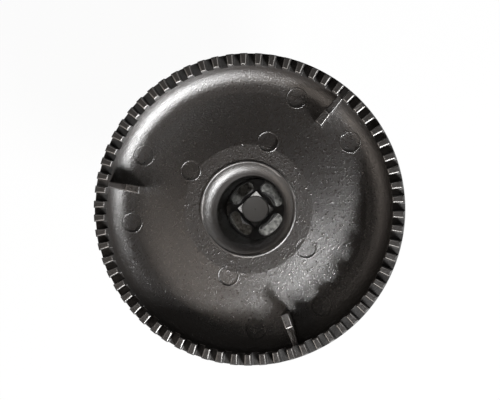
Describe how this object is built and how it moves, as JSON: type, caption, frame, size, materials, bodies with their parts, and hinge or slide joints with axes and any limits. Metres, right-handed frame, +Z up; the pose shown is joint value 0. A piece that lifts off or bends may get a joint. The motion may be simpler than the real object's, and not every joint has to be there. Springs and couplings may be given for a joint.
{
  "type": "barbecue side burner",
  "caption": "Round cast side burner head with alternating deep and shallow flame ports, stepped cap ribs, a bell-mouthed mixing tube, air spider and gas jet.",
  "frame": {"origin": "centre of the surface that the four feet stand on, on the burner's axis", "axes": "+Z up along the burner's axis to the flame-port rim; the air windows between the feet face along X and Y"},
  "size_m": [0.1014, 0.1014, 0.05],
  "materials": {
    "burner_head": "die cast, dark charcoal-brown satin coating with a fine cast grain",
    "mixing_tube": "die cast, the same dark satin coating, a little smoother in the throat",
    "gas_jet": "turned brass, nickel plated, dulled by use on the nose",
    "jam_nut": "bright zinc plated steel"
  },
  "bodies": {
    "root": {"burner_head": "burner_head", "mixing_tube": "mixing_tube", "gas_jet": "gas_jet", "jam_nut": "jam_nut"}
  },
  "joints": []
}
